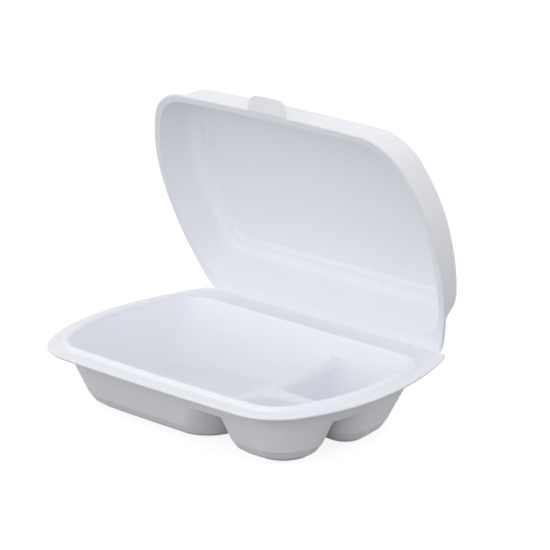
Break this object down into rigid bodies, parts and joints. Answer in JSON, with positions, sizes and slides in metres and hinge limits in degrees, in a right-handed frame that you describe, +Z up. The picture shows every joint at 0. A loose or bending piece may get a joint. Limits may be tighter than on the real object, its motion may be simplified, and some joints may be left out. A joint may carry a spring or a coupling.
{
  "type": "hinged foam meal box",
  "caption": "Hinged foam meal box: a compartmented tray with a raised bead, and a domed lid that folds over on a pressed crease and has a tongue on its front edge.",
  "frame": {"origin": "on the underside of the tray's large compartment, at the middle of the tray's plan outline", "axes": "+X to the right along the crease, +Y from the front edge to the crease, +Z up; the tray stands on z = 0"},
  "size_m": [0.24, 0.1741, 0.1933],
  "materials": {
    "foam": "matte, very fine foam grain"
  },
  "bodies": {
    "tray": {"tray": "foam"},
    "lid": {"lid": "foam"}
  },
  "joints": [
    {"name": "lid_crease", "type": "hinge", "parent": "tray", "child": "lid", "pos_m": [0, 0.0775, 0.04015], "axis": [-1, 0, 0], "range_deg": [-72, 108]}
  ]
}
